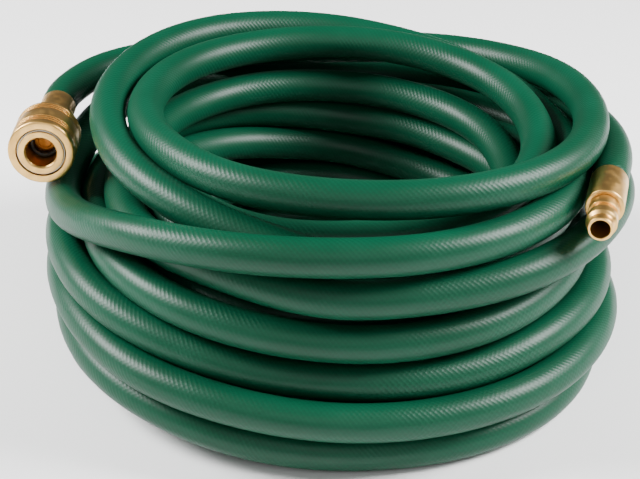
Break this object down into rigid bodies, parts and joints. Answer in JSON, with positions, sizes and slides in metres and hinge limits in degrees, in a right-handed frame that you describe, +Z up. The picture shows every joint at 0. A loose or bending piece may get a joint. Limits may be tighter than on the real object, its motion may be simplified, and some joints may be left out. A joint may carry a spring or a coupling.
{
  "type": "coiled air hose",
  "caption": "Flexible green compressed-air hose in a tall standing coil, with a brass quick coupler on one end and a brass plug on the other.",
  "frame": {"origin": "on the floor, under the middle of the object's box, close to the coil's axis", "axes": "+Z up along the coil's axis; the coupler's socket faces -Y; the plug lies on the +X side"},
  "size_m": [0.2608, 0.2504, 0.1155],
  "materials": {
    "hose_cover": "satin green hose cover with a faint braid showing through",
    "turned_brass": "lathe-turned brass, bright, with fine turning marks",
    "valve_brass": "darker brass, seen inside the socket",
    "seal_rubber": "matt black sealing rubber",
    "spring_steel": "drawn spring wire"
  },
  "bodies": {
    "root": {"hose_coil": "hose_cover", "hose_coupler_end": "hose_cover", "hose_plug_end": "hose_cover", "coupler_ferrule": "turned_brass", "coupler_tail": "turned_brass", "coupler_body": "turned_brass", "coupler_snap_ring": "spring_steel", "coupler_seal": "seal_rubber", "plug_ferrule": "turned_brass", "plug_nipple": "turned_brass"},
    "sleeve": {"coupler_sleeve": "turned_brass"},
    "valve": {"coupler_valve": "valve_brass"}
  },
  "joints": [
    {"name": "sleeve_slide", "type": "slide", "parent": "root", "child": "sleeve", "axis": [0, 1, 0], "range_m": [0, 0.0035], "stiffness_N_per_m": 3000, "springref_m": -0.002},
    {"name": "valve_slide", "type": "slide", "parent": "root", "child": "valve", "axis": [0, 1, 0], "range_m": [0, 0.003], "stiffness_N_per_m": 1200, "springref_m": -0.002}
  ]
}
